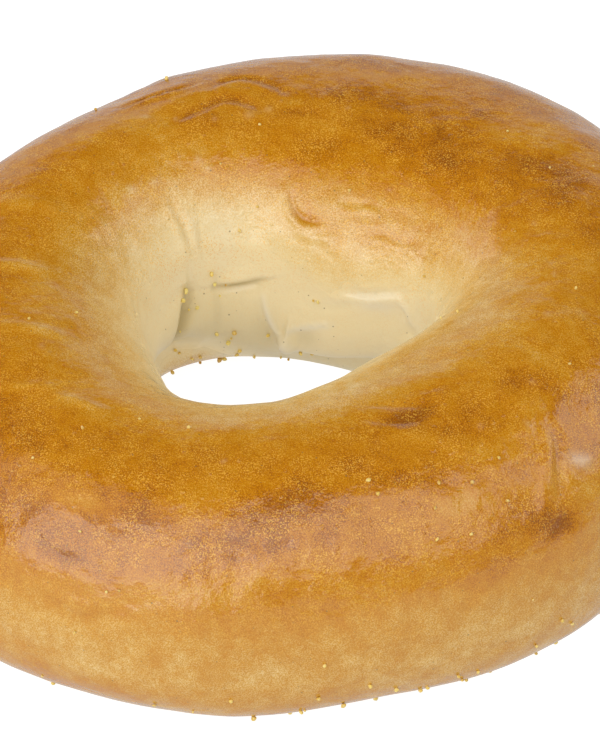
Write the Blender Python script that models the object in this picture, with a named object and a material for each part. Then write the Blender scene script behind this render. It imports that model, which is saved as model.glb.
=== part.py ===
"""A plain bagel: one baked ring of dough that stands on its flat underside.

Metres, +Z up. The origin is under the middle of the ring, on the surface that it rests on.
"""

import math

import bmesh
import bpy

# Driving sizes of the ring, before the unevenness below
OUTER_RADIUS = 0.0550  # middle of the ring to the outermost crust
HOLE_RADIUS = 0.0155  # middle of the ring to the narrowest part of the hole
HEIGHT = 0.0349  # table to the crest of the crust
WAIST = 0.44  # where the section is widest, as a share of the height
CROWN_ROUNDNESS = 2.15  # 2 is an ellipse, more is squarer
BASE_ROUNDNESS = 2.9
BASE_FLAT = 0.0005  # how much of the rounded underside the baking tray has pressed flat

# Hand-rolled unevenness: (waves round the ring, size, direction of the first wave in degrees)
OUTLINE_WAVES = (
    (2, 0.0036, 35),
    (3, 0.0013, -49),
    (5, 0.0004, 33),
)
HOLE_WAVES = (
    (1, 0.0023, 168),
    (2, 0.0017, 11),
    (3, 0.0021, 12),
    (5, 0.0003, 18),
)
HEIGHT_WAVES = (
    (1, 0.0003, 10),
    (2, 0.0004, -50),
)

# Soft swellings (+) and hollows (-) in the crust. Angles are in degrees: round the ring, and over
# the section, where 0 is the outer side, 90 the crest, 180 the hole and 270 the underside.
SWELLINGS = (
    # round, over, reach round, reach over, size
    (110, 50, 5, 24, 0.0004),
    (124, 54, 8, 30, -0.0004),
    (-80, -42, 9, 34, -0.0003),
    (-57, -35, 7, 34, 0.0001),
    (-96, -42, 8, 34, 0.0002),
    (160, 75, 16, 30, -0.0004),
    (60, 82, 18, 30, -0.0004),
    (-28, 66, 12, 26, 0.0004),
    (-62, 100, 14, 28, -0.0004),
    (-125, 66, 20, 26, 0.0004),
    (14, 112, 14, 30, 0.0004),
    (200, 104, 14, 30, 0.0003),
)

# The joint of the rolled dough runs round the hole's wall: a groove with a fuller lip under it
SEAM_HEIGHT = 0.52  # share of the height
SEAM_DEPTH = 0.0011
SEAM_REACH = 0.0022
LIP_HEIGHT = 0.30
LIP_SIZE = 0.0010
LIP_REACH = 0.0045
SEAM_DIRECTION = 80  # the side of the hole where the joint is deepest, in degrees
SEAM_LEAST = 0.35  # what is left of it on the opposite side

# Fineness of the solid
STEPS_ROUND = 84
STEPS_OVER = 40

CRUST_COLOUR = (0.50, 0.19, 0.03, 1.0)
CRUST_ROUGHNESS = 0.42


def clear_scene():
    for old in list(bpy.data.objects):
        bpy.data.objects.remove(old, do_unlink=True)


def waves(angle, rows):
    return sum(size * math.cos(count * (angle - math.radians(first))) for count, size, first in rows)


def signed_power(value, power):
    return math.copysign(abs(value) ** power, value)


def turn_between(angle, middle):
    """Degrees from middle to angle, from -180 to 180."""
    return (angle - middle + 180) % 360 - 180


def hill(distance, reach):
    return math.exp(-((distance / reach) ** 2))


def swelling(round_angle, over_angle):
    round_deg, over_deg = math.degrees(round_angle), math.degrees(over_angle)
    total = 0.0
    for middle_round, middle_over, reach_round, reach_over, size in SWELLINGS:
        near_round = hill(turn_between(round_deg, middle_round), reach_round)
        near_over = hill(turn_between(over_deg, middle_over), reach_over)
        total += size * near_round * near_over
    return total


def seam(round_angle, z, height):
    """How far the hole's wall is drawn back: a groove, less the lip under it."""
    side = 0.5 + 0.5 * math.cos(round_angle - math.radians(SEAM_DIRECTION))
    strength = SEAM_LEAST + (1 - SEAM_LEAST) * side
    groove = SEAM_DEPTH * hill(z - SEAM_HEIGHT * height, SEAM_REACH)
    lip = LIP_SIZE * hill(z - LIP_HEIGHT * height, LIP_REACH)
    return strength * (groove - lip)


def section_point(round_angle, over_angle):
    """Distance from the middle of the ring, and height, of one point of the crust."""
    outer = OUTER_RADIUS + waves(round_angle, OUTLINE_WAVES)
    hole = HOLE_RADIUS + waves(round_angle, HOLE_WAVES)
    height = HEIGHT + BASE_FLAT + waves(round_angle, HEIGHT_WAVES)
    middle, half_width = (outer + hole) / 2, (outer - hole) / 2

    across, up = math.cos(over_angle), math.sin(over_angle)
    roundness = CROWN_ROUNDNESS if up > 0 else BASE_ROUNDNESS
    reach = (1 - WAIST) * height if up > 0 else WAIST * height
    grow = swelling(round_angle, over_angle)
    radius = middle + half_width * signed_power(across, 2 / roundness) + grow * across
    z = WAIST * height + reach * signed_power(up, 2 / roundness) + grow * up
    if across < 0:
        radius -= across * seam(round_angle, z, height)
    return radius, max(z - BASE_FLAT, 0.0)


def crust_material():
    crust = bpy.data.materials.new("baked crust")
    crust.use_nodes = True
    shader = crust.node_tree.nodes["Principled BSDF"]
    shader.inputs["Base Color"].default_value = CRUST_COLOUR
    shader.inputs["Roughness"].default_value = CRUST_ROUGHNESS
    shader.inputs["Metallic"].default_value = 0.0
    return crust


def ring_points():
    """The crust's points, ring section by ring section, centred on the origin."""
    points = []
    for step_round in range(STEPS_ROUND):
        round_angle = 2 * math.pi * step_round / STEPS_ROUND
        for step_over in range(STEPS_OVER):
            radius, z = section_point(round_angle, 2 * math.pi * step_over / STEPS_OVER)
            points.append((radius * math.cos(round_angle), radius * math.sin(round_angle), z))
    middle_x = (min(p[0] for p in points) + max(p[0] for p in points)) / 2
    middle_y = (min(p[1] for p in points) + max(p[1] for p in points)) / 2
    return [(x - middle_x, y - middle_y, z) for x, y, z in points]


def make_bagel():
    shape = bmesh.new()
    corners = [shape.verts.new(point) for point in ring_points()]
    for step_round in range(STEPS_ROUND):
        this, following = step_round * STEPS_OVER, (step_round + 1) % STEPS_ROUND * STEPS_OVER
        for step_over in range(STEPS_OVER):
            above = (step_over + 1) % STEPS_OVER
            shape.faces.new(
                (
                    corners[this + step_over],
                    corners[following + step_over],
                    corners[following + above],
                    corners[this + above],
                )
            )
    mesh = bpy.data.meshes.new("bagel")
    shape.to_mesh(mesh)
    shape.free()
    mesh.shade_smooth()
    mesh.materials.append(crust_material())
    bagel = bpy.data.objects.new("bagel", mesh)
    bpy.context.scene.collection.objects.link(bagel)
    return bagel


clear_scene()
make_bagel()
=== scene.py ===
import math

import bmesh
import bpy
import numpy as np
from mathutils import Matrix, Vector
from mathutils.bvhtree import BVHTree


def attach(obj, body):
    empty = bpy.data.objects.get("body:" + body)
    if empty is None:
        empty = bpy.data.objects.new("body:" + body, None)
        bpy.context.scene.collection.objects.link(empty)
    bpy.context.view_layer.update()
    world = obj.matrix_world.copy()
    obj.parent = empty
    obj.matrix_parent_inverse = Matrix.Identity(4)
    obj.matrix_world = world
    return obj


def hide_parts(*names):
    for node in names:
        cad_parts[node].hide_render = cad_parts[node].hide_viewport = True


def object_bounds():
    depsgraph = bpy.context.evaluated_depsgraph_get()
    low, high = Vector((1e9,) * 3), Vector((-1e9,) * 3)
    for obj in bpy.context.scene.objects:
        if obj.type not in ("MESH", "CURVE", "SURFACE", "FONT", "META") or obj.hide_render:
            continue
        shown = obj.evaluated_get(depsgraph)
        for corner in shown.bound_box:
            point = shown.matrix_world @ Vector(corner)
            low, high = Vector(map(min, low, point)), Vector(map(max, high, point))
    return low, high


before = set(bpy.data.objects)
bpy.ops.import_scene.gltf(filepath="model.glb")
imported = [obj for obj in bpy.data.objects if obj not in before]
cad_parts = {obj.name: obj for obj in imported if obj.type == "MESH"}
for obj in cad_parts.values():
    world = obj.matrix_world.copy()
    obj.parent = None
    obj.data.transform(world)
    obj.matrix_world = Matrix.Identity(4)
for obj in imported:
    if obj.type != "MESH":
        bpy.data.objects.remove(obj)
cadLow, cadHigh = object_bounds()
mm = 0.001

# Places on the ring are two angles in degrees. Round: 0 is the right, 90 the far side, 180 the left, -90 the
# near side. Over the section: 0 is the outer side, 90 the crest, 180 the hole's wall, 270 the underside.


# Crust shape: the solid's own form, read off by rays and drawn again on a fine grid

crustShape = {
    "stepsRound": 400,       # grid lines round the ring
    "stepsOver": 240,        # grid lines over the section
    "crowd": 0.32,           # 0 spreads them evenly, more gathers them
    "crowdAt": 130,          # around this angle over the section
    "smoothRound": 26,       # waves round the ring that survive smoothing
    "smoothOver": 13,        # waves over the section that survive smoothing
    "smoothMiddle": 4,       # the same for the line through the sections' middles
    "waist": 0.46,           # height of the section's middle, as a share of the ring's
    "baseKept": (0.3, 2.5),  # millimetres above the table over which the marks fade in
}


def solidTree(node):
    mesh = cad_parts[node].data
    mesh.calc_loop_triangles()
    corners = [v.co.copy() for v in mesh.vertices]
    return BVHTree.FromPolygons(corners, [tuple(t.vertices) for t in mesh.loop_triangles])


def rayReach(tree, start, direction):
    return tree.ray_cast(Vector(start), Vector(direction))[3]


def keepLowWaves(values, limit, axis):
    spectrum = np.fft.rfft(values, axis=axis)
    waves = np.arange(spectrum.shape[axis])
    fade = np.exp(-(waves / limit) ** 4)
    shape = [1] * values.ndim
    shape[axis] = -1
    return np.fft.irfft(spectrum * fade.reshape(shape), n=values.shape[axis], axis=axis)


class RingGrid:
    # the crust's smooth form as a grid of points, with the two angles of every point

    def __init__(self, look):
        tree = solidTree("bagel")
        self.waist = (cadHigh.z - cadLow.z) * look["waist"]
        self.rounds = np.arange(look["stepsRound"]) * 2 * math.pi / look["stepsRound"]
        self.middle = keepLowWaves(self.sectionMiddles(tree), look["smoothMiddle"], 0)
        evenOvers = np.arange(look["stepsOver"]) * 2 * math.pi / look["stepsOver"]
        reach = self.sectionReach(tree, evenOvers)
        reach = keepLowWaves(reach, look["smoothRound"], 0)
        reach = keepLowWaves(reach, look["smoothOver"], 1)
        self.overs = evenOvers - look["crowd"] * np.sin(evenOvers - math.radians(look["crowdAt"]))
        self.points = self.drawn(reach, evenOvers)
        self.normals = gridNormals(self.points)

    def sectionMiddles(self, tree):
        middle = []
        outside = 0.2            # metres, well clear of the rim
        for angle in self.rounds:
            c, s = math.cos(angle), math.sin(angle)
            hole = rayReach(tree, (0, 0, self.waist), (c, s, 0))
            rim = outside - rayReach(tree, (outside * c, outside * s, self.waist), (-c, -s, 0))
            middle.append((hole + rim) / 2)
        return np.array(middle)

    def sectionReach(self, tree, overs):
        reach = np.empty((len(self.rounds), len(overs)))
        for i, angle in enumerate(self.rounds):
            c, s = math.cos(angle), math.sin(angle)
            start = (self.middle[i] * c, self.middle[i] * s, self.waist)
            for j, over in enumerate(overs):
                direction = (math.cos(over) * c, math.cos(over) * s, math.sin(over))
                reach[i, j] = rayReach(tree, start, direction)
        return reach

    def drawn(self, reach, evenOvers):
        turn = 2 * math.pi
        wrapped = np.concatenate([reach, reach[:, :1]], axis=1)
        known = np.append(evenOvers, turn)
        reach = np.array([np.interp(self.overs % turn, known, row) for row in wrapped])
        r = self.middle[:, None] + reach * np.cos(self.overs)
        x = r * np.cos(self.rounds)[:, None]
        y = r * np.sin(self.rounds)[:, None]
        z = self.waist + reach * np.sin(self.overs)
        return np.stack([x, y, z], axis=-1)

    def at(self, place, values):
        # values of the grid at a place given by its two angles in degrees
        n, m = values.shape[:2]
        i = math.radians(place[0]) % (2 * math.pi) / (2 * math.pi) * n
        overs = np.append(self.overs, self.overs[0] + 2 * math.pi)
        over = (math.radians(place[1]) - self.overs[0]) % (2 * math.pi) + self.overs[0]
        j = float(np.interp(over, overs, np.arange(m + 1)))
        i0, j0 = int(i), int(j)
        fi, fj = i - i0, j - j0
        i0, i1, j0, j1 = i0 % n, (i0 + 1) % n, j0 % m, (j0 + 1) % m
        near = values[i0, j0] * (1 - fj) + values[i0, j1] * fj
        far = values[i1, j0] * (1 - fj) + values[i1, j1] * fj
        return near * (1 - fi) + far * fi


def gridNormals(points):
    along = np.roll(points, -1, axis=0) - np.roll(points, 1, axis=0)
    across = np.roll(points, -1, axis=1) - np.roll(points, 1, axis=1)
    normal = np.cross(along, across)
    return normal / np.linalg.norm(normal, axis=-1, keepdims=True)


def gridMesh(name, points):
    n, m = points.shape[:2]
    index = np.arange(n * m).reshape(n, m)
    nextRound, nextOver = np.roll(index, -1, axis=0), np.roll(index, -1, axis=1)
    both = np.roll(nextRound, -1, axis=1)
    faces = np.stack([index, nextRound, both, nextOver], axis=-1).reshape(-1, 4)
    mesh = bpy.data.meshes.new(name)
    mesh.vertices.add(n * m)
    mesh.vertices.foreach_set("co", points.astype(np.float32).ravel())
    mesh.loops.add(faces.size)
    mesh.loops.foreach_set("vertex_index", faces.astype(np.int32).ravel())
    mesh.polygons.add(len(faces))
    mesh.polygons.foreach_set("loop_start", np.arange(0, faces.size, 4, dtype=np.int32))
    mesh.update(calc_edges=True)
    mesh.validate()
    mesh.shade_smooth()
    ring = mesh.uv_layers.new(name="OFBake")
    steps = np.stack(np.meshgrid(np.arange(n), np.arange(m), indexing="ij"), axis=-1)
    corner = [steps, steps + (1, 0), steps + (1, 1), steps + (0, 1)]
    uv = np.stack(corner, axis=-2).reshape(-1, 2) / (n, m)
    ring.data.foreach_set("uv", uv.astype(np.float32).ravel())
    return mesh


def addValues(mesh, name, values):
    layer = mesh.attributes.new(name, "FLOAT", "POINT")
    layer.data.foreach_set("value", values.astype(np.float32).ravel())


def ramp(values, low, high):
    t = np.clip((values - low) / (high - low), 0, 1)
    return t * t * (3 - 2 * t)


# Soft noise in space, in millimetres

def cornerValue(cell, seed):
    h = cell[..., 0] * 73856093 ^ cell[..., 1] * 19349663 ^ cell[..., 2] * 83492791 ^ seed * 40503
    h = (h ^ (h >> 13)) * 1274126177 & 0xFFFFFFFF
    return ((h ^ (h >> 16)) & 0xFFFF) / 32767.5 - 1


def softNoise(places, size, seed):
    q = places / (size * mm)
    cell = np.floor(q).astype(np.int64)
    f = q - cell
    f = f * f * f * (f * (f * 6 - 15) + 10)
    total = 0
    for dx in (0, 1):
        for dy in (0, 1):
            for dz in (0, 1):
                corner = np.array((dx, dy, dz))
                share = np.prod(np.where(corner, f, 1 - f), axis=-1)
                total = total + share * cornerValue(cell + corner, seed)
    return total


def layeredNoise(places, size, layers, seed):
    total, strength = 0, 1.0
    for layer in range(layers):
        total = total + strength * softNoise(places, size / 2 ** layer, seed + layer)
        strength *= 0.5
    return total


# Folds, creases, ridges and pits, placed one by one

def rounded(route):
    # cuts the corners of a route twice, so that it bends softly
    route = [np.array(place, float) for place in route]
    for again in range(2 if len(route) > 2 else 0):
        cut = [route[0]]
        for a, b in zip(route, route[1:]):
            cut += [a * 0.75 + b * 0.25, a * 0.25 + b * 0.75]
        route = cut + [route[-1]]
    return route


def nearLine(grid, route, reach):
    # for every point of the crust: millimetres from a line, side of it, and share of its length
    line = [grid.at(place, grid.points) for place in rounded(route)]
    shape = grid.points.shape[:2]
    gap = np.full(shape, 1e3)
    side = np.zeros(shape)
    share = np.zeros(shape)
    low = np.min(line, axis=0) - reach * mm
    high = np.max(line, axis=0) + reach * mm
    close = np.all((grid.points > low) & (grid.points < high), axis=-1)
    p, normal = grid.points[close], grid.normals[close]
    best, bestSide, bestShare = np.full(len(p), 1e3), np.zeros(len(p)), np.zeros(len(p))
    lengths = [np.linalg.norm(b - a) for a, b in zip(line, line[1:])]
    done = 0.0
    for a, b, length in zip(line, line[1:], lengths):
        along = (b - a) / length
        t = np.clip((p - a) @ along, 0, length)
        away = p - (a + t[:, None] * along)
        distance = np.linalg.norm(away, axis=-1) / mm
        better = distance < best
        best[better] = distance[better]
        bestSide[better] = np.sign(np.einsum("ij,ij->i", np.cross(along, normal), away))[better]
        bestShare[better] = (done + t[better]) / sum(lengths)
        done += length
    gap[close], side[close], share[close] = best, bestSide, bestShare
    return gap, side, share


def bell(distance, reach):
    return np.exp(-(distance / reach) ** 2)


markForm = {
    # how a line mark looks across itself, in its own widths, and how far a spot mark reaches
    "reach": 9,              # beyond this it does nothing
    "toastAndPaintedLightReach": 1.3,
    "paleReach": 1.1,
    "lipAway": 1.6,          # from the line to the top of its lip
    "lipReach": 1.4,
    "stepRise": (-0.5, 0.7),     # a step climbs between these
    "stepReach": 4,
    "taperStart": 0.06,      # how far it has grown at its ends
    "taperPower": 0.6,       # less is blunter
    "spotDepth": 2,          # millimetres that a spot mark reaches over bends, beside its own size
}


class Relief:
    # what is added to the smooth crust: height in millimetres, browning with painted shade and highlight,
    # paleness and smoothness

    def __init__(self, grid):
        shape = grid.points.shape[:2]
        self.grid = grid
        self.rise = np.zeros(shape)
        self.toastAndPaintedLight = np.zeros(shape)
        self.pale = np.zeros(shape)
        self.smooth = np.zeros(shape)

    def line(self, route, width, rise, toastAndPaintedLight=0.0, pale=0.0, lip=0.0, step=0.0):
        # a ridge or, with a minus, a crease; lip raises a fold on its right-hand side, seen along the route,
        # and step raises all of that side, fading away from the line
        form = markForm
        gap, side, share = nearLine(self.grid, route, form["reach"] * width)
        grown = form["taperStart"] + (1 - 2 * form["taperStart"]) * share
        taper = np.sin(math.pi * grown) ** form["taperPower"]
        body = bell(gap, width) * taper
        self.rise += rise * body
        self.toastAndPaintedLight += toastAndPaintedLight * bell(gap, form["toastAndPaintedLightReach"] * width) * taper
        self.pale += pale * bell(gap, form["paleReach"] * width) * taper
        if lip:
            fold = bell(gap - form["lipAway"] * width, form["lipReach"] * width)
            self.rise += lip * fold * (side > 0) * taper
        if step:
            across = gap * side
            climb = ramp(across, form["stepRise"][0] * width, form["stepRise"][1] * width)
            fade = bell(np.maximum(across, 0), form["stepReach"] * width)
            self.rise += step * climb * fade * (side != 0) * taper

    def spot(self, place, size, rise=0.0, toastAndPaintedLight=0.0, pale=0.0, smooth=0.0, crisp=1):
        # a patch of (length, width) in millimetres, its length along the ring; crisp makes its edge harder
        middle = self.grid.at(place, self.grid.points)
        ahead = self.grid.at((place[0] + 0.5, place[1]), self.grid.points) - middle
        normal = self.grid.at(place, self.grid.normals)
        ahead /= np.linalg.norm(ahead)
        up = np.cross(normal, ahead)
        gap = (self.grid.points - middle) / mm
        a = gap @ ahead / size[0]
        b = gap @ up / size[1]
        near = np.abs(gap @ normal) < markForm["spotDepth"] + max(size)     # not the ring's other side
        body = np.exp(-((a * a + b * b) ** crisp)) * near
        self.rise += rise * body
        self.toastAndPaintedLight += toastAndPaintedLight * body
        self.pale += pale * body
        self.smooth += smooth * body


# Browning: how far the crust is baked, from 0 for pale dough to 1 for brown; below 0 it is painted shade, a
# darker olive dough low in the hole and in its creases

browningAndShade = {
    # over the section, and the browning there; the values below 0, low in the hole's wall, are painted shade
    # that darkens it towards its foot
    "profile": [
        (-90, 0.72), (-60, 0.70), (-40, 0.64), (-25, 0.58), (-10, 0.56), (5, 0.62), (20, 0.80), (35, 0.97),
        (50, 1.00), (65, 0.96), (80, 0.90), (95, 0.87), (105, 0.83), (120, 0.76), (135, 0.56), (150, 0.28),
        (165, 0.05), (180, 0.0), (195, -0.02), (208, -0.07), (218, -0.10), (228, 0.0), (240, 0.48),
        (255, 0.66), (270, 0.72),
    ],
    # round the ring, and how many degrees over the section the pale hole reaches further up
    "holeReach": [
        (-180, 4), (-150, 6), (-120, 9), (-90, 16), (-60, 16), (-30, 10), (0, 10), (30, -2), (60, -10),
        (85, -2), (105, 12), (125, 20), (142, 18), (158, 10), (170, 6),
    ],
    # round the ring, and how much paler the shoulder between crest and hole is
    "shoulder": [
        (-170, 0.04), (-140, 0.14), (-110, 0.20), (-75, 0.22), (-50, 0.14), (-20, 0.08), (10, 0.05),
        (30, 0.0), (160, 0.0),
    ],
    # round the ring, and how much browner its crest is
    "crest": [
        (-140, 0.0), (-90, 0.0), (-50, 0.03), (-20, -0.05), (10, -0.04), (40, -0.06), (60, -0.03),
        (90, 0.0),
    ],
    "holeFrom": (78, 120),   # over the section, where the reach of the pale hole sets in
    "holeTo": (260, 200),    # and where it ends
    "shoulderOver": (108, 16),   # middle and half width of the shoulder over the section
    "crestOver": (88, 40),       # and of the crest
    "smoothOver": 40,        # waves over the section that survive smoothing
    # soft uneven patches and flecks: strength, size in millimetres
    "patches": {"strength": 0.06, "size": 13, "layers": 3, "seed": 11},
    "flecks": {"strength": 0.07, "size": 3, "layers": 2, "seed": 31},
    "unevenFrom": (0.05, 0.5),   # the browning over which they set in
}


def roundTable(table, rounds):
    places = np.array([row[0] for row in table], float)
    values = np.array([row[1] for row in table], float)
    return np.interp(np.degrees(rounds), places, values, period=360)


def overDegrees(grid):
    return (np.degrees(grid.overs) + 90) % 360 - 90


def patchNoise(grid, patch):
    return patch["strength"] * layeredNoise(grid.points, patch["size"], patch["layers"], patch["seed"])


def bakedAndShadedValues(grid, look):
    over = overDegrees(grid)
    holeReach = roundTable(look["holeReach"], grid.rounds)[:, None]
    shifted = over + holeReach * ramp(over, *look["holeFrom"]) * ramp(over, *look["holeTo"])
    places, values = zip(*look["profile"])
    toastAndPaintedLight = keepLowWaves(np.interp(shifted, places, values), look["smoothOver"], 1)
    for key, sign in (("crest", 1), ("shoulder", -1)):
        middle, reach = look[key + "Over"]
        toastAndPaintedLight += sign * roundTable(look[key], grid.rounds)[:, None] * bell(over - middle, reach)
    uneven = patchNoise(grid, look["patches"]) + patchNoise(grid, look["flecks"])
    return toastAndPaintedLight + uneven * ramp(toastAndPaintedLight, *look["unevenFrom"])


# Unevenness: soft lumps everywhere, then the marks that this bagel has

lumps = [
    # size and height in millimetres, and the share of it that is left on the smoother underside and hole
    {"size": 17, "rise": 0.22, "layers": 2, "seed": 3, "under": 1.0},
    {"size": 6.5, "rise": 0.17, "layers": 2, "seed": 17, "under": 0.35},
    {"size": 2.4, "rise": 0.04, "layers": 1, "seed": 23, "under": 0.2},
]

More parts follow.
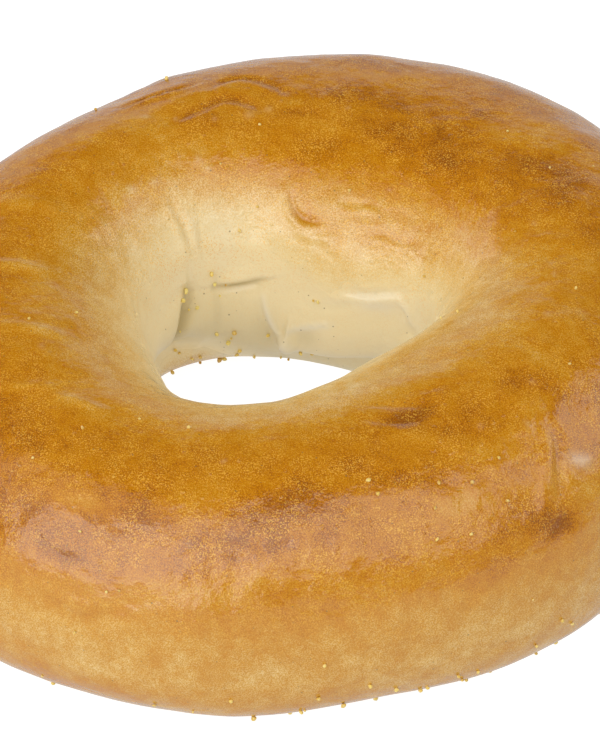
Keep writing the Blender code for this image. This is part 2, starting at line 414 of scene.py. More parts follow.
crustMarks = {
    "lines": [
        # route, width in millimetres, rise in millimetres, and whatever else Relief.line takes
        # the far rim stands a little fuller, the near left foot a little less,
        # and the hole's foot is cut back
        ([(132, 55), (122, 53), (114, 52)], 4, 0.45, {}),
        ([(90, 50), (70, 50), (50, 52), (28, 55)], 6, 0.32, {}),
        ([(-122, -34), (-112, -36), (-102, -38)], 4.5, -0.60, {}),
        ([(84, 210), (66, 208), (52, 206), (38, 204), (26, 200)], 3.0, -2.2, {}),
        ([(128, 210), (140, 208), (152, 206), (166, 204)], 3.2, -2.9, {}),
        # the joint in the hole's wall: an overhang on the left, a sharp ledge on the right; the darker dough
        # along these creases is painted shade, the pale band under the ledge is dry dough with painted
        # highlight on its upward face, and the pale rim at the pocket is painted highlight
        ([(98, 172), (104, 174), (108, 175), (115, 176), (120, 175)],
         0.6, -0.7, {"toastAndPaintedLight": -0.12, "step": 0.8}),
        ([(54, 172), (48, 171), (42, 171), (36, 169), (29, 166)], 0.5, -0.4, {"toastAndPaintedLight": -0.1, "step": 0.7}),
        ([(45, 174), (39, 174), (34, 173), (30, 172)], 1.0, 0.0, {"pale": 0.55}),
        ([(30, 169), (25, 171), (22, 177)], 0.5, 0.5, {"pale": 0.4}),
        ([(120, 168), (121, 180), (121, 187), (122, 196)], 0.4, -0.15, {"toastAndPaintedLight": -0.03}),
        ([(75, 178), (65, 178), (56, 177), (49, 175), (44, 175)], 0.9, -0.15, {"toastAndPaintedLight": -0.06}),
        # where the left wall folds into the far wall, with painted shade along the crease
        ([(133, 172), (133, 177), (135, 181), (137, 186), (141, 193), (144, 202)],
         0.9, -1.7, {"toastAndPaintedLight": -0.12, "step": 0.8}),
        # a stretched thread of dough, forked, and the drop it ends in, with two creases beside them darkened
        # as painted shade
        ([(99, 180), (98, 185), (96, 189), (93, 193), (88, 196)], 0.4, 0.5, {"pale": 0.75}),
        ([(84, 187), (85, 191), (86, 195)], 0.45, 0.6, {"pale": 0.2}),
        ([(84, 191), (79, 189), (72, 187), (63, 185), (56, 184)], 0.4, 0.35, {"pale": 0.8}),
        ([(100, 188), (97, 195), (93, 202)], 1.4, -0.25, {"toastAndPaintedLight": -0.06}),
        ([(80, 194), (74, 192), (66, 190)], 1.0, -0.3, {"toastAndPaintedLight": -0.06}),
        # wrinkles that run down from the crest into the hole
        ([(131, 130), (130, 138), (130, 147), (129, 154)], 0.5, -0.35, {"toastAndPaintedLight": 0.05, "lip": 0.3}),
        ([(124, 142), (125, 150), (124, 157)], 0.45, -0.25, {"toastAndPaintedLight": 0.03, "lip": 0.15}),
        ([(127, 134), (127, 143), (126, 151)], 0.8, 0.2, {"pale": 0.12}),
        ([(117, 134), (117, 147), (118, 161)], 1.0, 0.12, {"pale": 0.12}),
        ([(110, 136), (112, 148), (114, 162)], 1.1, 0.10, {"pale": 0.10}),
        # stretch marks over the left of the ring: low ridges whose paler tone is partly paler crust and
        # partly painted highlight
        ([(162, 78), (161, 93), (159, 108)], 1.2, 0.24, {"toastAndPaintedLight": -0.14}),
        ([(181, 78), (181, 95), (182, 113)], 0.8, 0.26, {"toastAndPaintedLight": -0.20}),
        ([(199, 84), (203, 101), (208, 114)], 0.8, 0.24, {"toastAndPaintedLight": -0.18}),
        ([(213, 72), (217, 82), (221, 92)], 0.8, 0.24, {"toastAndPaintedLight": -0.18}),
        ([(223, 88), (228, 93), (233, 95)], 0.7, 0.22, {"toastAndPaintedLight": -0.16}),
        # the far hump with its cracks; the paler band between them is painted highlight on the hump
        ([(123, 74), (118, 73), (113, 76), (108, 76)], 0.5, -0.4, {"toastAndPaintedLight": 0.25, "lip": 0.35}),
        ([(105, 82), (101, 77), (97, 77), (93, 83), (89, 90)], 0.6, -0.4, {"toastAndPaintedLight": 0.2, "lip": 0.25}),
        ([(117, 96), (112, 95), (107, 92), (103, 89), (99, 93), (95, 99)],
         0.7, -0.4, {"toastAndPaintedLight": 0.16, "lip": 0.2}),
        ([(116, 86), (109, 84), (102, 83), (96, 88)], 1.6, 0.35, {"toastAndPaintedLight": -0.12}),
        ([(88, 100), (85, 102), (81, 103)], 0.6, -0.18, {"toastAndPaintedLight": 0.15}),
        # a small brown fold on the inner slope, with drawn skin round it
        ([(86, 138), (85, 142), (82, 146), (78, 148), (73, 148)], 0.45, -0.5, {"toastAndPaintedLight": 0.22, "lip": 0.4}),
        ([(82, 144), (78, 145), (73, 147), (69, 149)], 0.9, -0.1, {"toastAndPaintedLight": 0.16}),
        ([(82, 152), (76, 153), (70, 154), (64, 153)], 0.5, 0.35, {"toastAndPaintedLight": -0.05}),
        ([(66, 140), (60, 141), (54, 139), (48, 141)], 0.45, -0.15, {"toastAndPaintedLight": 0.03, "lip": 0.2}),
        ([(50, 150), (44, 148), (38, 149), (32, 146)], 0.45, -0.15, {"toastAndPaintedLight": 0.06, "lip": 0.15}),
        ([(60, 146), (52, 147), (46, 145)], 0.7, 0.2, {}),
        # streaky creases on the near right
        ([(-70, 102), (-65, 98), (-60, 92), (-55, 89)], 0.7, -0.25, {"toastAndPaintedLight": 0.06}),
        ([(-71, 93), (-66, 87), (-61, 85), (-56, 88)], 0.8, -0.25, {"toastAndPaintedLight": 0.10}),
        ([(-63, 102), (-57, 98), (-51, 95), (-46, 93)], 0.9, -0.14, {"toastAndPaintedLight": 0.10}),
        ([(-66, 82), (-63, 77), (-60, 71), (-56, 63)], 1.3, 0.18, {"toastAndPaintedLight": -0.14}),
        ([(-47, 85), (-43, 77), (-42, 68), (-41, 60)], 1.2, 0.2, {"toastAndPaintedLight": -0.14}),
        # a raised block on the near right, with a sharp ridge along its right side; the paler tone on its top
        # edge and ridge is painted highlight, the browner crease beside the ridge is painted shade, and the
        # pale dash is a painted glint
        ([(-49, 63), (-46, 61), (-43, 55)], 0.8, 0.2, {"toastAndPaintedLight": -0.05}),
        ([(-43, 56), (-45, 49), (-48, 42), (-50, 33)], 0.7, 0.32, {"toastAndPaintedLight": -0.1}),
        ([(-42, 58), (-43, 50), (-45, 43), (-47, 33)], 0.5, -0.45, {"toastAndPaintedLight": 0.12}),
        ([(-43, 44), (-42, 41), (-40, 38)], 0.8, 0.3, {"pale": 0.35}),
        ([(-57, 45), (-55, 41), (-53, 38), (-50, 36)], 0.5, -0.2, {"toastAndPaintedLight": 0.1}),
        ([(-57, 38), (-54, 35), (-51, 33)], 0.5, -0.2, {"toastAndPaintedLight": 0.1}),
        # a smile-shaped crease low on the near left, and small nicks above it
        ([(-121, 14), (-118, 10), (-115, 9), (-112, 14), (-110, 20)], 1.0, -0.3, {"toastAndPaintedLight": 0.1}),
        ([(-120, 16), (-116, 14), (-112, 18)], 0.9, 0.16, {"toastAndPaintedLight": -0.04}),
        ([(-114, 32), (-113, 29), (-112, 26)], 0.6, -0.2, {"toastAndPaintedLight": 0.08}),
        ([(-104, 41), (-102, 45), (-101, 49)], 0.4, -0.22, {"toastAndPaintedLight": 0.12}),
        ([(-98, 41), (-96, 40), (-94, 41)], 0.5, -0.24, {"toastAndPaintedLight": 0.14}),
        ([(-98, 49), (-96, 48), (-94, 49)], 0.5, -0.2, {"toastAndPaintedLight": 0.12}),
        ([(-92, 43), (-90, 45), (-88, 45)], 0.5, -0.22, {"toastAndPaintedLight": 0.12}),
        ([(-124, 35), (-121, 31), (-117, 32)], 0.6, -0.22, {"toastAndPaintedLight": 0.12}),
        ([(-64, -14), (-60, -16), (-56, -16)], 0.5, -0.15, {"toastAndPaintedLight": 0.05}),
    ],
    "spots": [
        # place, (length, width) in millimetres, and whatever else Relief.spot takes
        # smooth places, where the skin has no blisters; their paler tone is painted highlight
        ((-61, 47), (3.6, 1.7), {"smooth": 1.0, "toastAndPaintedLight": -0.12, "rise": 0.1, "crisp": 3}),
        ((-117, 52), (2.6, 1.0), {"smooth": 1.0, "toastAndPaintedLight": -0.06, "crisp": 2}),
        # the drop that hangs in the hole, and the pocket at the right end of the joint
        ((85.5, 197.5), (1.35, 1.45), {"rise": 1.5, "pale": 0.6, "crisp": 1.8}),
        ((22, 181), (1.4, 1.1), {"rise": -0.6}),
        # pits
        ((-123, 33), (0.7, 0.5), {"rise": -0.3, "toastAndPaintedLight": 0.12}),
        ((-119, 30), (0.9, 0.6), {"rise": -0.3, "toastAndPaintedLight": 0.1}),
        ((-111, 38), (0.6, 0.6), {"rise": -0.3, "toastAndPaintedLight": 0.14}),
    ],
    # uneven baking, with some painted highlight named below: place, (length, width) in millimetres, and how
    # much browner
    "tones": [
        # far side; the paler patches at 125,88 and 124,79 on the blistered hump and at 87,142 beside the
        # small fold are painted highlight
        (58, 107, 9, 5, 0.24), (42, 118, 6, 4, 0.18), (25, 111, 7, 4.5, 0.14), (19, 90, 4, 2.8, 0.26),
        (22, 77, 4, 2.2, 0.22), (26, 82, 4, 2.2, 0.16), (36, 85, 3, 1.6, -0.14), (43, 112, 1.6, 1.0, 0.26),
        (67, 99, 5, 1.4, -0.16), (125, 99, 3.5, 2, -0.12), (120, 79, 4, 1.5, 0.14), (133, 99, 3, 2, 0.12),
        (115, 126, 4, 2, 0.08), (63, 128, 9, 2.4, 0.10), (60, 141, 5, 1.4, -0.16),
        (87, 142, 1.2, 1.2, -0.12), (128, 72, 4, 2, 0.10), (30, 100, 12, 5, 0.06), (70, 89, 7, 3, 0.10),
        (114, 124, 8, 3, 0.12), (86, 124, 8, 3, 0.10), (112, 100, 4, 3, 0.10), (60, 148, 8, 3, 0.05),
        (34, 147, 6, 3, 0.09), (12, 122, 4, 5, 0.10), (105, 62, 9, 3, 0.08), (32, 92, 5, 1.8, 0.10),
        (48, 80, 2.5, 1.2, 0.14), (63, 103, 3.5, 1.2, 0.12), (29, 128, 2.6, 0.8, 0.18),
        (125, 88, 3, 2.5, -0.16), (124, 79, 3, 1.8, -0.10), (98, 85, 3, 1.2, -0.12),
        (88, 97, 3, 1.0, -0.12), (70, 72, 7, 2, -0.12), (38, 76, 5, 3, -0.12), (40, 88, 2.2, 1, -0.16),
        (77, 108, 4, 1.0, -0.10), (135, 95, 6, 4, -0.05), (30, 70, 7, 3, -0.10), (85, 88, 9, 2, 0.06),
        # right side
        (8, 84, 4, 4, 0.08), (-4, 86, 4, 4, -0.10), (12, 93, 3, 3, -0.10), (0, 118, 4, 4, -0.10),
        (-16, 108, 5, 4, -0.08), (3, 70, 5, 3, -0.06), (-12, 70, 5, 3, 0.05),
        # streaked near right; the paler patches at -62,47, -57,42 and -68,38 are painted highlight on the
        # smooth block
        (-65, 91, 3, 1.2, 0.10), (-63, 87, 3, 1.3, 0.24), (-53, 78, 4, 1.6, 0.06), (-56, 71, 4, 1.5, 0.14),
        (-41, 79, 3, 1.6, 0.14), (-54, 85, 3, 1.4, -0.12), (-32, 72, 3, 1.6, 0.12),
        (-40, 66, 3.5, 1.5, -0.20), (-17, 76, 4, 3, -0.10), (-27, 75, 3, 2, -0.10),
        (-48, 56, 3.5, 2, -0.16), (-53, 55, 3, 1.6, -0.12), (-62, 47, 3, 1.6, -0.18),
        (-55, 84, 5, 2.4, 0.12), (-49, 25, 3, 1.8, 0.26), (-52, 30, 3, 1.8, 0.16),
        (-45, 40, 2.6, 1.8, -0.20), (-42, 31, 3, 2.2, -0.22), (-57, 42, 4, 2, -0.12), (-30, 45, 3, 4, 0.12),
        (-49, 24, 3.4, 2, 0.14), (-61, 18, 3.6, 2.4, 0.14), (-52, 9, 3, 3, 0.10), (-38, 65, 2.4, 2, 0.14),
        (-41, 80, 3, 2, 0.08), (-32, 75, 1.4, 5, -0.24), (-69, 63, 3, 1.4, 0.04),
        (-66, 67, 2.6, 1.2, -0.12), (-62, 60, 3, 1.4, 0.04), (-68, 38, 3.6, 3.4, -0.12),
        (-72, 52, 3, 3, -0.06), (-55, 60, 3, 1.4, -0.10), (-62, 90, 3.2, 2.4, 0.14),
        (-29, 67, 3, 2.4, -0.10), (-37, 46, 3, 3, -0.10), (-48, 38, 3, 2.4, -0.10), (-60, 43, 3, 2, -0.08),
        (32, 91, 3, 2.4, 0.08), (22, 111, 4, 3, 0.08),
        # near side; the paler patches at -119,53 and -128,52, the three low ones from -102,27 to -84,39, and
        # the one at -132,92 on a stretch mark are painted highlight
        (-102, 65, 3, 2.4, -0.08), (-86, 66, 3, 2.4, 0.08), (-92, 57, 4, 3.6, 0.10),
        (-85, 60, 4, 2.2, 0.12), (-95, 51, 4, 2.4, 0.06), (-103, 49, 6, 2.6, 0.05),
        (-110, 53, 2.4, 1.6, 0.24), (-118, 42, 8, 4, 0.07), (-129, 38, 8, 4, 0.08),
        (-119, 53, 3, 1.2, -0.16), (-128, 52, 4, 1.4, -0.14), (-86, 68, 2.6, 1.5, 0.22),
        (-78, 73, 2.4, 1.2, 0.14), (-102, 65, 3, 2, -0.14), (-106, 55, 2.4, 1.4, -0.12),
        (-111, 23, 4, 1.4, -0.10), (-132, 92, 6, 1.6, -0.12), (-81, 66, 2, 1, -0.10),
        (-115, 30, 6, 2.4, 0.08), (-84, 69, 3, 1.2, -0.18), (-90, 70, 2, 1.2, -0.16),
        (-113, 71, 4, 2.6, -0.12), (-92, 34, 6, 2.2, -0.22), (-84, 39, 4, 1.8, -0.14),
        (-102, 27, 8, 2.2, -0.14), (-75, 30, 7, 3, -0.06), (-119, -27, 9, 3, 0.20),
        (-138, -16, 14, 6, 0.16), (-120, 6, 9, 4, -0.05), (-90, -24, 10, 2.4, 0.07),
        (-90, -8, 12, 3, -0.05), (-66, 0, 9, 6, -0.05),
        # left side
        (-158, 77, 4, 3, 0.12), (171, 75, 5, 3, 0.07), (-178, 92, 6, 3, 0.06), (177, 122, 5, 3, -0.10),
        (-150, 70, 5, 3, 0.06), (-165, 62, 7, 4, 0.05), (158, 82, 5, 3, 0.06), (-172, 108, 4, 3, -0.05),
    ],
    # what a pale blister does, how wide it is for its size, and the blisters: place and size in millimetres
    "blister": {"rise": 0.16, "toastAndPaintedLight": -0.14, "pale": 0.1, "smooth": 0.6},
    "blisterWidth": 0.7,
    "blisters": [
        (93, 100, 0.7), (98, 102, 0.8), (116, 116, 0.7), (114, 121, 0.6), (140, 116, 0.8), (122, 88, 0.8),
        (116, 95, 0.5), (132, 118, 0.9), (107, 101, 0.5), (80, 91, 0.5), (74, 98, 0.4), (-45, 62, 0.6),
        (-52, 70, 0.5), (-38, 74, 0.5), (12, 104, 0.5), (-6, 96, 0.5), (-20, 90, 0.6), (170, 70, 0.6),
        (-150, 100, 0.5), (5, 70, 0.6), (60, 70, 0.5), (-100, 80, 0.5), (200, 60, 0.6), (150, 60, 0.5),
    ],
}


skin = {
    "topFrom": (-15, 40),        # over the section, where the upper crust begins
    "topTo": (185, 150),         # and where it ends, in the hole
    "blisteredBelow": 0.2,       # how blistered the rest of the crust is, next to the upper crust
    "crackledOver": (138, 19),   # middle and half width of the drawn skin, on the slope down into the hole
    "crackledFar": (-0.3, 0.5),  # it sets in from near to far between these sines of the round angle
    "crackledLeast": 0.25,       # what is left of it on the near side
}


def topShare(grid):
    # 1 on the upper crust, 0 low on the sides and in the hole
    over = overDegrees(grid)
    return ramp(over, *skin["topFrom"]) * ramp(over, *skin["topTo"]) * np.ones((len(grid.rounds), 1))


def crackledShare(grid):
    # where the skin is drawn into fine wrinkles
    middle, reach = skin["crackledOver"]
    far = ramp(np.sin(grid.rounds), *skin["crackledFar"])
    far = skin["crackledLeast"] + (1 - skin["crackledLeast"]) * far
    return bell(overDegrees(grid) - middle, reach) * far[:, None]


def crustRelief(grid):
    relief = Relief(grid)
    top = topShare(grid)
    for lump in lumps:
        noise = layeredNoise(grid.points, lump["size"], lump["layers"], lump["seed"])
        relief.rise += lump["rise"] * noise * (lump["under"] + (1 - lump["under"]) * top)
    for route, width, rise, rest in crustMarks["lines"]:
        relief.line(route, width, rise, **rest)
    for place, size, rest in crustMarks["spots"]:
        relief.spot(place, size, **rest)
    for placeRound, placeOver, length, width, toastAndPaintedLight in crustMarks["tones"]:
        relief.spot((placeRound, placeOver), (length, width), toastAndPaintedLight=toastAndPaintedLight)
    for placeRound, placeOver, size in crustMarks["blisters"]:
        width = size * crustMarks["blisterWidth"]
        relief.spot((placeRound, placeOver), (width, width), **crustMarks["blister"])
    return relief


def raisedPoints(grid, rise):
    height = grid.points[..., 2] - cadLow.z
    fadeFrom, fadeTo = crustShape["baseKept"]        # the pressed base keeps its shape
    free = ramp(height, fadeFrom * mm, fadeTo * mm)
    points = grid.points + grid.normals * (rise * free * mm)[..., None]
    points[..., 2] = np.maximum(points[..., 2], cadLow.z)
    return points


grid = RingGrid(crustShape)
relief = crustRelief(grid)
points = raisedPoints(grid, relief.rise)
crustMesh = gridMesh("bagel_crust", points)
blistered = skin["blisteredBelow"] + (1 - skin["blisteredBelow"]) * topShare(grid)
addValues(crustMesh, "toastAndPaintedLight", bakedAndShadedValues(grid, browningAndShade) + relief.toastAndPaintedLight)
addValues(crustMesh, "pale", np.clip(relief.pale, 0, 1))
addValues(crustMesh, "blistered", np.clip(blistered * (1 - relief.smooth), 0, 1))
addValues(crustMesh, "crackled", crackledShare(grid))
crust = bpy.data.objects.new("bagel_crust", crustMesh)
bpy.context.scene.collection.objects.link(crust)
print("crust", len(crustMesh.polygons), "faces")


# Shader building

def addNode(tree, kind, inputs=None, **settings):
    node = tree.nodes.new(kind)
    for name, value in settings.items():
        setattr(node, name, value)
    for key, value in (inputs or {}).items():
        if isinstance(value, bpy.types.NodeSocket):
            tree.links.new(value, node.inputs[key])
        else:
            node.inputs[key].default_value = value
    return node


def maths(tree, operation, a, b=0.0, clamp=False):
    node = addNode(tree, "ShaderNodeMath", {0: a, 1: b}, operation=operation, use_clamp=clamp)
    return node.outputs[0]


def stretch(tree, value, gain, offset=0.0):
    node = addNode(tree, "ShaderNodeMath", {0: value, 1: gain, 2: offset}, operation="MULTIPLY_ADD")
    return node.outputs[0]


def aboutZero(tree, mask, strength):
    # a mask from 0 to 1 made to swing evenly to both sides of 0
    return stretch(tree, mask, strength, -strength / 2)


def blend(tree, share, a, b, mode="MIX"):
    node = addNode(tree, "ShaderNodeMix", {0: share, 6: a, 7: b}, data_type="RGBA", blend_type=mode)
    return node.outputs[2]


def newGroup(name, inputs, outputs):
    tree = bpy.data.node_groups.new(name, "ShaderNodeTree")
    for socketName, kind, value in inputs:
        socket = tree.interface.new_socket(socketName, in_out="INPUT", socket_type=kind)
        if value is not None:
            socket.default_value = value
    for socketName, kind in outputs:
        tree.interface.new_socket(socketName, in_out="OUTPUT", socket_type=kind)
    start = tree.nodes.new("NodeGroupInput")
    end = tree.nodes.new("NodeGroupOutput")
    return tree, start.outputs, end.inputs


def softStep(tree, value, low, high):
    # 0 at low and 1 at high, or the other way round if high is the lower one
    node = addNode(tree, "ShaderNodeMapRange", {"Value": value, "From Min": low, "From Max": high},
                   interpolation_type="SMOOTHSTEP")
    return node.outputs[0]


def grainGroup():
    # soft noise of a size in millimetres, stretched so that Low becomes 0 and High becomes 1
    inputs = [("Place", "NodeSocketVector", None), ("Size", "NodeSocketFloat", 1.0),
              ("Detail", "NodeSocketFloat", 2.0), ("Low", "NodeSocketFloat", 0.3),
              ("High", "NodeSocketFloat", 0.7)]
    tree, given, result = newGroup("doughGrain", inputs, [("Mask", "NodeSocketFloat")])
    scale = maths(tree, "DIVIDE", 1.0, given["Size"])
    noise = addNode(tree, "ShaderNodeTexNoise", {"Vector": given["Place"], "Scale": scale,
                                                 "Detail": given["Detail"]})
    tree.links.new(softStep(tree, noise.outputs[0], given["Low"], given["High"]), result["Mask"])
    return tree


def fleckGroup():
    # scattered round dots, of which only a share of the cells has one
    inputs = [("Place", "NodeSocketVector", None), ("Spacing", "NodeSocketFloat", 3.0),
              ("Radius", "NodeSocketFloat", 0.2), ("Share", "NodeSocketFloat", 0.5)]
    tree, given, result = newGroup("doughFlecks", inputs, [("Mask", "NodeSocketFloat")])
    scale = maths(tree, "DIVIDE", 1.0, given["Spacing"])
    cells = addNode(tree, "ShaderNodeTexVoronoi", {"Vector": given["Place"], "Scale": scale})
    millimetres = maths(tree, "MULTIPLY", cells.outputs["Distance"], given["Spacing"])
    split = addNode(tree, "ShaderNodeSeparateColor", {0: cells.outputs["Color"]})
    radius = maths(tree, "MULTIPLY", given["Radius"], maths(tree, "ADD", split.outputs[1], 0.5))
    dot = softStep(tree, maths(tree, "DIVIDE", millimetres, radius), 1.3, 0.7)
    kept = maths(tree, "LESS_THAN", split.outputs[0], given["Share"])
    tree.links.new(maths(tree, "MULTIPLY", dot, kept), result["Mask"])
    return tree


doughGrain = grainGroup()
doughFlecks = fleckGroup()


def grain(tree, place, size, low=0.3, high=0.7, detail=2.0):
    group = addNode(tree, "ShaderNodeGroup", node_tree=doughGrain)
    tree.links.new(place, group.inputs["Place"])
    for name, value in (("Size", size), ("Detail", detail), ("Low", low), ("High", high)):
        group.inputs[name].default_value = value
    return group.outputs["Mask"]


def flecks(tree, place, spacing, radius, share):
    group = addNode(tree, "ShaderNodeGroup", node_tree=doughFlecks)
    tree.links.new(place, group.inputs["Place"])
    for name, value in (("Spacing", spacing), ("Radius", radius), ("Share", share)):
        group.inputs[name].default_value = value
    return group.outputs["Mask"]


def objectPlace(tree):
    # where a point is on the object, in millimetres
    where = addNode(tree, "ShaderNodeTexCoord").outputs["Object"]
    scaled = addNode(tree, "ShaderNodeVectorMath", {0: where, "Scale": 1 / mm}, operation="SCALE")
    return scaled.outputs[0]


def meshValue(tree, name):
    return addNode(tree, "ShaderNodeAttribute", attribute_name=name).outputs["Fac"]


# Crust material

crustLook = {
    # browning and colour
    "colours": [
        # below 0: a darker olive dough, painted shade low in the hole and in its creases
        (-0.20, (0.56, 0.47, 0.25)),
        (0.00, (0.91, 0.78, 0.49)),
        (0.15, (0.85, 0.68, 0.36)),
        (0.35, (0.73, 0.47, 0.15)),
        (0.55, (0.61, 0.31, 0.040)),
        (0.70, (0.56, 0.240, 0.006)),
        (0.85, (0.53, 0.193, 0.000)),
        (1.00, (0.46, 0.152, 0.001)),
        (1.20, (0.27, 0.075, 0.002)),
    ],
    "uneven": {"size": 1.7, "strength": 0.13},       # sizes are in millimetres
    "fine": {"size": 0.15, "strength": 0.36},
    # frosted places, where the skin has tiny blisters, between smooth amber ones
    "frost": {"size": 3.2, "low": 0.36, "high": 0.64, "detail": 5.0, "least": 0.35},
    # light tan specks on the frosted places: painted glints of the tiny blisters
    "paintedGlints": {"size": 0.19, "low": 0.52, "high": 0.64, "strength": 0.62},
    "paintedGlintColour": (0.85, 0.47, 0.045, 1),
    "flourAndHighlight": (0.86, 0.80, 0.64, 1),
    "branFlecks": {"spacing": 1.15, "radius": 0.085, "share": 0.6, "strength": 0.65},
    "bran": (0.20, 0.13, 0.04, 1),
    # heights in millimetres
    "beads": {"spacing": 0.26, "radius": 0.11, "share": 1.0, "rise": 0.010},
    "tight": {"size": 0.17, "rise": 0.005},
    "bubbles": {"spacing": 1.7, "radius": 0.22, "share": 0.6, "rise": 0.05},
    "soft": {"size": 2.4, "rise": 0.10},
    "crackle": {"density": 2.3, "detail": 1.5, "distortion": 0.5, "rise": -0.05},
    # gloss
    "roughness": 0.11,
    "paleRoughness": 0.30,
    "paleUpTo": 0.4,         # the browning at which the skin has its full gloss
    "frostRoughness": 0.08,  # how much rougher the frosted places are
    "crackledGloss": 0.10,   # how much less rough the drawn skin is
    "specular": 0.8,
}


def colourRamp(tree, value, rows):
    # rows of (value, colour), over their own range of values
    first, last = rows[0][0], rows[-1][0]
    share = stretch(tree, value, 1 / (last - first), first / (first - last))
    colours = addNode(tree, "ShaderNodeValToRGB", {0: share})
    stops = colours.color_ramp.elements
    while len(stops) < len(rows):
        stops.new(1.0)
    for stop, (position, colour) in zip(stops, rows):
        stop.position = (position - first) / (last - first)
        stop.color = (*colour, 1)
    return colours.outputs[0]


def someFlecks(tree, place, look):
    return flecks(tree, place, look["spacing"], look["radius"], look["share"])


def crustMaterial(look):
    mat = bpy.data.materials.new("baked_crust")
    mat.use_nodes = True
    tree = mat.node_tree
    shader = tree.nodes["Principled BSDF"]
    place = objectPlace(tree)
    blistered = meshValue(tree, "blistered")
    toastAndPaintedLight = meshValue(tree, "toastAndPaintedLight")
    crackled = meshValue(tree, "crackled")
    patch = look["frost"]
    frost = grain(tree, place, patch["size"], patch["low"], patch["high"], patch["detail"])
    frost = stretch(tree, frost, 1 - patch["least"], patch["least"])
    frost = maths(tree, "MULTIPLY", frost, blistered)

    # colour
    uneven = grain(tree, place, look["uneven"]["size"], detail=3.0)
    uneven = aboutZero(tree, uneven, look["uneven"]["strength"])
    fine = grain(tree, place, look["fine"]["size"], detail=1.0)
    fine = aboutZero(tree, fine, look["fine"]["strength"])
    baked = maths(tree, "MULTIPLY", toastAndPaintedLight, 2.0, clamp=True)
    change = maths(tree, "MULTIPLY", maths(tree, "ADD", uneven, fine), baked)
    colour = colourRamp(tree, maths(tree, "ADD", toastAndPaintedLight, change), look["colours"])
    # painted glints: light tan specks on the frosted places
    dots = look["paintedGlints"]
    paintedGlints = maths(tree, "MULTIPLY", grain(tree, place, dots["size"], dots["low"], dots["high"], 1.0), frost)
    colour = blend(tree, stretch(tree, paintedGlints, dots["strength"]), colour, look["paintedGlintColour"])
    # pale marks: flour and dry dough, and painted highlight in the hole's joint and on the near right
    colour = blend(tree, meshValue(tree, "pale"), colour, look["flourAndHighlight"])
    bran = stretch(tree, someFlecks(tree, place, look["branFlecks"]), look["branFlecks"]["strength"])
    colour = blend(tree, bran, colour, look["bran"])
    tree.links.new(colour, shader.inputs["Base Color"])

    # height in millimetres
    beads = stretch(tree, someFlecks(tree, place, look["beads"]), look["beads"]["rise"])
    tight = stretch(tree, grain(tree, place, look["tight"]["size"], detail=1.0), look["tight"]["rise"])
    blisters = maths(tree, "MULTIPLY", maths(tree, "ADD", tight, beads), frost)
    bubbles = maths(tree, "MULTIPLY", someFlecks(tree, place, look["bubbles"]), blistered)
    bubbles = stretch(tree, bubbles, look["bubbles"]["rise"])
    soft = stretch(tree, grain(tree, place, look["soft"]["size"], 0.25, 0.75, 4.0), look["soft"]["rise"])
    drawn = look["crackle"]
    wrinkles = addNode(tree, "ShaderNodeTexNoise", {
        "Vector": place, "Scale": drawn["density"],
        "Detail": drawn["detail"], "Distortion": drawn["distortion"]})
    folded = maths(tree, "ABSOLUTE", stretch(tree, wrinkles.outputs[0], 2.0, -1.0))
    crackle = maths(tree, "MULTIPLY", stretch(tree, folded, drawn["rise"]), crackled)
    height = maths(tree, "ADD", maths(tree, "ADD", blisters, bubbles), maths(tree, "ADD", soft, crackle))
    bump = addNode(tree, "ShaderNodeBump", {"Height": height, "Distance": mm, "Strength": 1.0})
    tree.links.new(bump.outputs[0], shader.inputs["Normal"])

    # gloss
    dull = addNode(tree, "ShaderNodeMapRange", {"Value": toastAndPaintedLight, "From Min": 0.0, "From Max": look["paleUpTo"],
                                                "To Min": look["paleRoughness"], "To Max": look["roughness"]})
    rough = maths(tree, "ADD", dull.outputs[0], stretch(tree, frost, look["frostRoughness"]))
    rough = maths(tree, "SUBTRACT", rough, stretch(tree, crackled, look["crackledGloss"]))
    tree.links.new(rough, shader.inputs["Roughness"])
    shader.inputs["Specular IOR Level"].default_value = look["specular"]
    return mat


crustMesh.materials.append(crustMaterial(crustLook))
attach(crust, "root")
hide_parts("bagel")


# Cornmeal: chips of coarse meal that stick to the dough

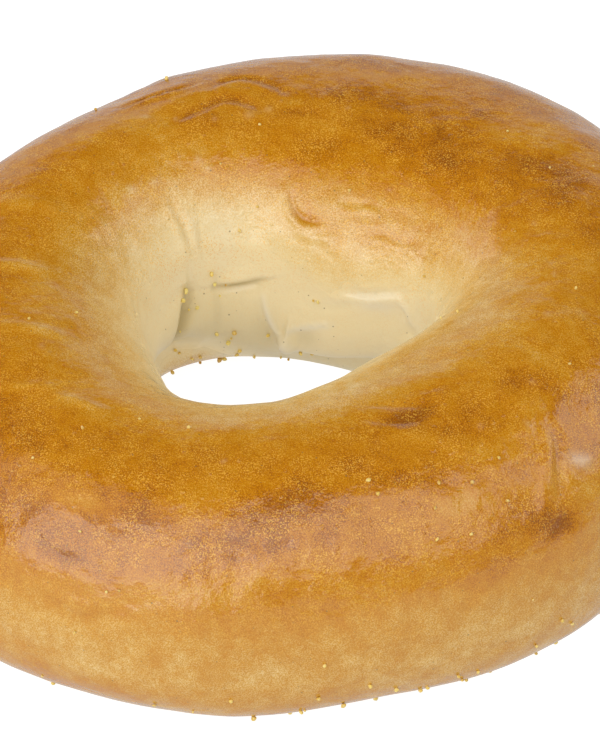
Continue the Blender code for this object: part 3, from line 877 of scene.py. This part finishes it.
cornmeal = {
    "placed": [
        # place, size in millimetres, ripeness: 0 is pale yellow, 1 is orange brown
        (134, 173, 0.95, 0.1), (137, 176, 0.75, 0.2), (130, 183, 0.75, 0.1), (133, 184, 0.45, 0.3),
        (122, 167, 0.85, 0.3), (121, 173, 0.6, 0.0), (119, 180, 0.4, 0.2), (108, 149, 0.6, 0.6),
        (116, 174, 0.45, 0.9), (114, 198, 0.75, 0.7), (122, 199, 0.6, 0.2), (116, 205, 0.75, 0.05),
        (86, 203, 0.7, 0.1), (79, 203, 0.7, 0.3), (70, 177, 0.45, 0.5), (67, 177, 0.6, 0.2),
        (136, 213, 0.6, 0.5), (125, 219, 0.6, 0.6), (110, 216, 0.7, 0.5), (102, 217, 0.6, 0.6),
        (74, 207, 0.7, 0.5), (62, 206, 0.7, 0.6), (57, 205, 0.6, 0.5), (138, 194, 0.4, 0.2),
        (-19, 127, 0.5, 0.5), (-17, 137, 0.4, 0.4), (23, 154, 0.45, 0.7),
        (-53, 56, 0.6, 0.6), (-64, 56, 0.65, 0.9), (-59, 52, 0.65, 0.9), (-66, 48, 0.6, 0.8),
        (-55, 41, 0.6, 0.8), (-67, 37, 0.65, 0.6), (-62, 35, 0.65, 0.6), (-75, 65, 0.7, 0.5),
        (-74, 59, 0.65, 0.7), (-118, 42, 0.5, 0.3), (-10, 86, 0.5, 0.4), (-84, -6, 0.6, 0.3),
        (-65, -26, 0.7, 0.7), (-81, -36, 0.85, 0.6), (-70, -33, 0.75, 0.6), (-69, -32, 0.6, 0.5),
        (-62, -27, 0.6, 0.5), (-48, -19, 0.55, 0.4), (-50, -14, 0.6, 0.6), (111, 61, 0.7, 0.6),
        (126, 62, 0.5, 0.9), (-30, 70, 0.45, 0.6), (-130, 60, 0.5, 0.6),
    ],
    "scattered": [
        # how many, where over the section, size in millimetres
        {"count": 300, "over": (226, 322), "size": (0.45, 0.95)},      # pressed into the underside
        {"count": 26, "over": (196, 226), "size": (0.35, 0.75)},       # low on the hole's wall
        {"count": 64, "over": (-40, -16), "size": (0.35, 0.75)},       # low on the outer side
        {"count": 26, "over": (-10, 150), "size": (0.3, 0.55)},        # strays higher up
    ],
    "facets": 8,
    "cutDepth": (0.62, 0.9), # how far from its middle a chip is cut, as a share of its radius
    "width": (0.7, 1.0),     # shares of its length
    "thickness": (0.55, 0.85),
    "height": 0.8,           # a chip's usual height as a share of its size
    "sunk": 0.12,            # how much of that sits in the dough
    "clear": 0.02,           # millimetres that every chip keeps above the table
    "seed": 5,
    "colours": [(0.0, (0.90, 0.74, 0.20)), (0.5, (0.84, 0.58, 0.10)), (1.0, (0.58, 0.30, 0.02))],
    "meal": (0.95, 0.85, 0.45, 1),
    "mealSize": 0.3,
    "mealStrength": 0.35,
    "roughness": 0.4,
}


def chipPoints(ball, dice, look):
    # a ball cut by a few random planes, then squashed
    planes = dice.normal(size=(look["facets"], 3))
    planes /= np.linalg.norm(planes, axis=1, keepdims=True)
    depth = dice.uniform(*look["cutDepth"], look["facets"])
    facing = ball @ planes.T
    reach = np.where(facing > 0.05, depth / np.maximum(facing, 0.05), 9).min(axis=1)
    chip = ball * np.minimum(reach, 1)[:, None]
    return chip * (1.0, dice.uniform(*look["width"]), dice.uniform(*look["thickness"]))


def randomTurn(dice):
    turn, _ = np.linalg.qr(dice.normal(size=(3, 3)))
    return turn


def chipPlaces(look, dice):
    chips = [((chipRound, over), size, ripe) for chipRound, over, size, ripe in look["placed"]]
    for group in look["scattered"]:
        for _ in range(group["count"]):
            place = (dice.uniform(-180, 180), dice.uniform(*group["over"]))
            chips.append((place, dice.uniform(*group["size"]), dice.beta(2, 2)))
    return chips


def makeCornmeal(look, grid, points):
    dice = np.random.default_rng(look["seed"])
    shape = bmesh.new()
    bmesh.ops.create_icosphere(shape, subdivisions=2, radius=1)
    ball = np.array([v.co for v in shape.verts])
    ballFaces = np.array([[v.index for v in f.verts] for f in shape.faces])
    shape.free()
    normals = gridNormals(points)
    corners, faces, ripeness = [], [], []
    for place, size, ripe in chipPlaces(look, dice):
        chip = chipPoints(ball, dice, look) @ randomTurn(dice).T * (size / 2 * mm)
        normal = grid.at(place, normals)
        lift = (0.5 - look["sunk"]) * size * mm * look["height"]
        chip = chip + grid.at(place, points) + normal * lift
        chip[:, 2] = np.maximum(chip[:, 2], cadLow.z + look["clear"] * mm)
        faces.append(ballFaces + len(corners) * len(ball))
        corners.append(chip)
        ripeness.append(np.full(len(ball), ripe))
    mesh = bpy.data.meshes.new("cornmeal")
    mesh.from_pydata(np.concatenate(corners).tolist(), [], np.concatenate(faces).tolist())
    mesh.shade_smooth()
    addValues(mesh, "ripe", np.concatenate(ripeness))
    chips = bpy.data.objects.new("cornmeal", mesh)
    bpy.context.scene.collection.objects.link(chips)
    print("cornmeal", len(corners), "chips,", len(mesh.polygons), "faces")
    return chips


def cornmealMaterial(look):
    mat = bpy.data.materials.new("cornmeal")
    mat.use_nodes = True
    tree = mat.node_tree
    shader = tree.nodes["Principled BSDF"]
    place = objectPlace(tree)
    colour = colourRamp(tree, meshValue(tree, "ripe"), look["colours"])
    mealy = stretch(tree, grain(tree, place, look["mealSize"], 0.35, 0.65), look["mealStrength"])
    colour = blend(tree, mealy, colour, look["meal"])
    tree.links.new(colour, shader.inputs["Base Color"])
    shader.inputs["Roughness"].default_value = look["roughness"]
    return mat


cornmealChips = makeCornmeal(cornmeal, grid, points)
cornmealChips.data.materials.append(cornmealMaterial(cornmeal))
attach(cornmealChips, "root")


# Floor, lights and camera

studio = {
    "floorSize": 12.0,
    "floorDrop": 0.0001,             # metres under the bread, so that the two don't share a plane
    "floorColour": (0.25, 0.25, 0.25, 1),
    "floorRoughness": 0.8,
    "floorGlow": 0.53,               # what the floor lights the bread with
    "floorSeen": 0.42,               # and how much brighter the camera sees it
    "cameraElevation": 41.1,         # degrees above the floor
    "cameraDistance": 0.772,
    "cameraAim": (0.0026, -0.0019, 0.0167),
    "cameraLens": 288.3,             # millimetres, for a sensor as wide as the next
    "cameraSensor": 36,
    "skyLow": 0.26,                  # how bright the room is at the horizon
    "skyHigh": 0.04,                 # and overhead
    "skySeen": 0.78,                 # and how much brighter the camera sees it
    "skyFade": (0.1, 0.6),           # between these heights
    "lampAim": (0, 0, 0.02),
    "lamps": {
        # direction (0 is the camera's side, + to the right), elevation, distance, (width, height),
        # brightness, and whether it shows as a highlight
        "window_left": (-34, 26, 1.2, (1.40, 1.00), 2.20, True),
        "window_above": (-48, 60, 1.2, (1.30, 0.70), 0.65, True),
        "window_right": (28, 48, 1.2, (1.00, 1.10), 1.40, True),
        "side_left": (-112, 20, 1.2, (1.20, 1.00), 1.10, True),
        "side_right": (96, 36, 1.2, (0.90, 0.70), 1.45, True),
        "fill_back": (180, 66, 1.2, (1.20, 1.00), 1.10, False),
        "back": (-168, 17, 1.3, (2.60, 0.50), 0.40, True),
    },
}


def makeFloor():
    bpy.ops.mesh.primitive_circle_add(vertices=96, radius=studio["floorSize"], fill_type="NGON")
    floor = bpy.context.object
    floor.name = "pale_floor"
    floor.location.z = cadLow.z - studio["floorDrop"]
    mat = bpy.data.materials.new("pale_floor")
    mat.use_nodes = True
    shader = mat.node_tree.nodes["Principled BSDF"]
    shader.inputs["Base Color"].default_value = studio["floorColour"]
    shader.inputs["Roughness"].default_value = studio["floorRoughness"]
    shader.inputs["Emission Color"].default_value = (1, 1, 1, 1)
    rays = addNode(mat.node_tree, "ShaderNodeLightPath")
    glow = addNode(mat.node_tree, "ShaderNodeMath", {0: rays.outputs["Is Camera Ray"], 1: studio["floorSeen"],
                                                     2: studio["floorGlow"]}, operation="MULTIPLY_ADD")
    mat.node_tree.links.new(glow.outputs[0], shader.inputs["Emission Strength"])
    floor.data.materials.append(mat)


def makeCamera():
    data = bpy.data.cameras.new("camera")
    data.lens = studio["cameraLens"]
    data.sensor_width = studio["cameraSensor"]
    camera = bpy.data.objects.new("camera", data)
    bpy.context.scene.collection.objects.link(camera)
    tilt = math.radians(studio["cameraElevation"])
    back = Vector((0, -math.cos(tilt), math.sin(tilt)))
    camera.location = Vector(studio["cameraAim"]) + back * studio["cameraDistance"]
    camera.rotation_euler = (-back).to_track_quat("-Z", "Y").to_euler()
    bpy.context.scene.camera = camera


def makeLamp(name, direction, elevation, distance, size, brightness, shows):
    data = bpy.data.lights.new(name, "AREA")
    data.shape = "RECTANGLE"
    data.size, data.size_y = size
    data.energy = math.pi * size[0] * size[1] * brightness
    light = bpy.data.objects.new(name, data)
    bpy.context.scene.collection.objects.link(light)
    a, e = math.radians(direction), math.radians(elevation)
    back = Vector((math.sin(a) * math.cos(e), -math.cos(a) * math.cos(e), math.sin(e)))
    light.location = Vector(studio["lampAim"]) + back * distance
    light.rotation_euler = (-back).to_track_quat("-Z", "Y").to_euler()
    light.visible_camera = False
    light.visible_glossy = shows


def makeSky():
    world = bpy.data.worlds.new("studio")
    bpy.context.scene.world = world
    world.use_nodes = True
    nodes, links = world.node_tree.nodes, world.node_tree.links
    where = nodes.new("ShaderNodeTexCoord")
    split = nodes.new("ShaderNodeSeparateXYZ")
    links.new(where.outputs["Generated"], split.inputs[0])
    fall = nodes.new("ShaderNodeMapRange")
    fall.interpolation_type = "SMOOTHSTEP"
    fall.inputs["From Min"].default_value, fall.inputs["From Max"].default_value = studio["skyFade"]
    fall.inputs["To Min"].default_value = studio["skyLow"]
    fall.inputs["To Max"].default_value = studio["skyHigh"]
    links.new(split.outputs["Z"], fall.inputs["Value"])
    rays = nodes.new("ShaderNodeLightPath")
    seen = nodes.new("ShaderNodeMath")
    seen.operation = "MULTIPLY_ADD"
    seen.inputs[1].default_value = studio["skySeen"]
    links.new(rays.outputs["Is Camera Ray"], seen.inputs[0])
    links.new(fall.outputs["Result"], seen.inputs[2])
    links.new(seen.outputs[0], nodes["Background"].inputs["Strength"])
    nodes["Background"].inputs["Color"].default_value = (1, 1, 1, 1)


makeFloor()
makeCamera()
makeSky()
for lampName, lamp in studio["lamps"].items():
    makeLamp(lampName, *lamp)
bpy.context.scene.view_settings.view_transform = "Standard"
